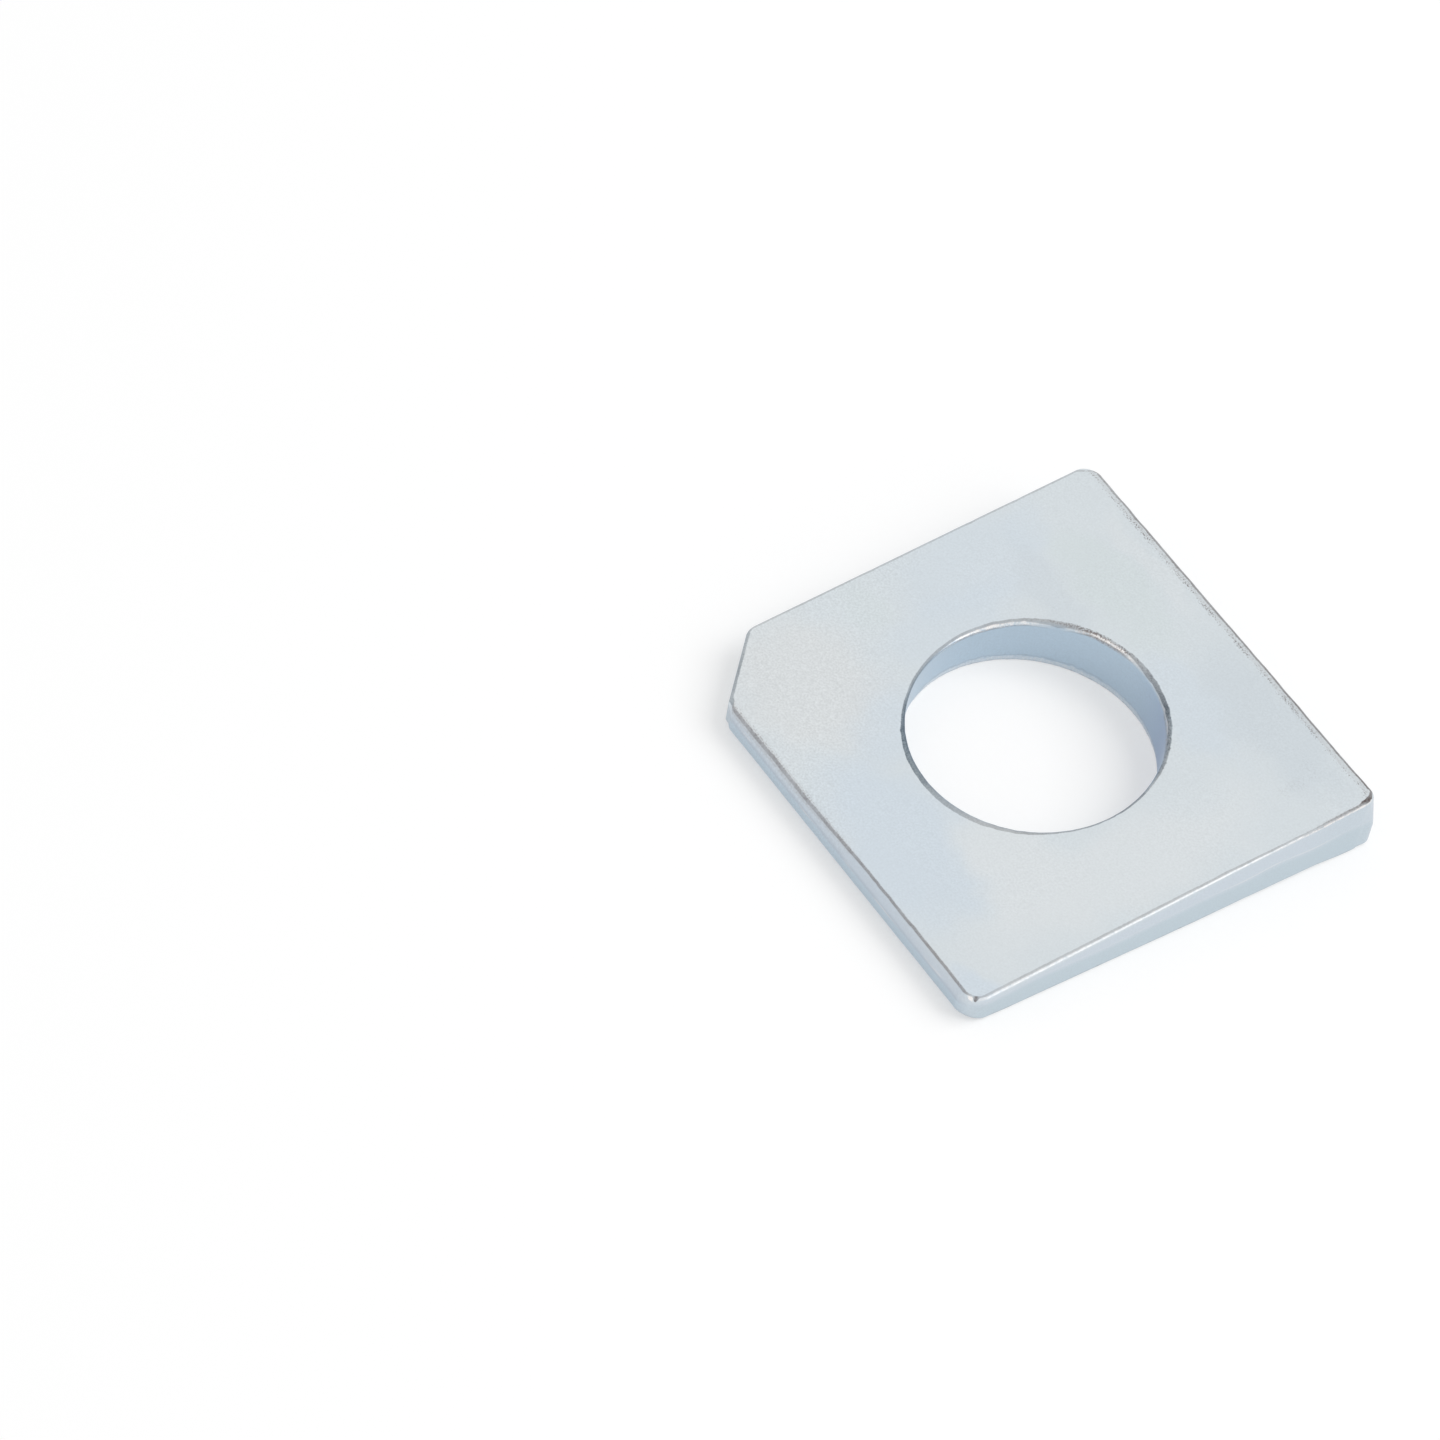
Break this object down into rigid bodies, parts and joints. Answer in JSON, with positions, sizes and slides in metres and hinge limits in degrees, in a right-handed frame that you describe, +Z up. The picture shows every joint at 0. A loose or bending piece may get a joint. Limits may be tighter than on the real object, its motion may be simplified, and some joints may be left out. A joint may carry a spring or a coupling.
{
  "type": "square taper washer",
  "caption": "Square steel taper washer with a round bolt hole and one clipped corner, used to level a bolt head or nut on a sloping flange.",
  "frame": {"origin": "middle of the lower flat face, on the axis of the bolt hole", "axes": "+Z up along the bolt hole towards the sloping face, +Y up the slope from the thin edge to the thick edge, +X along the rolled edges away from the clipped corner"},
  "size_m": [0.0444, 0.0444, 0.0066],
  "materials": {
    "zinc_plate": "bright zinc plate, satin, pale blue-grey"
  },
  "bodies": {
    "root": {"washer": "zinc_plate"}
  },
  "joints": []
}
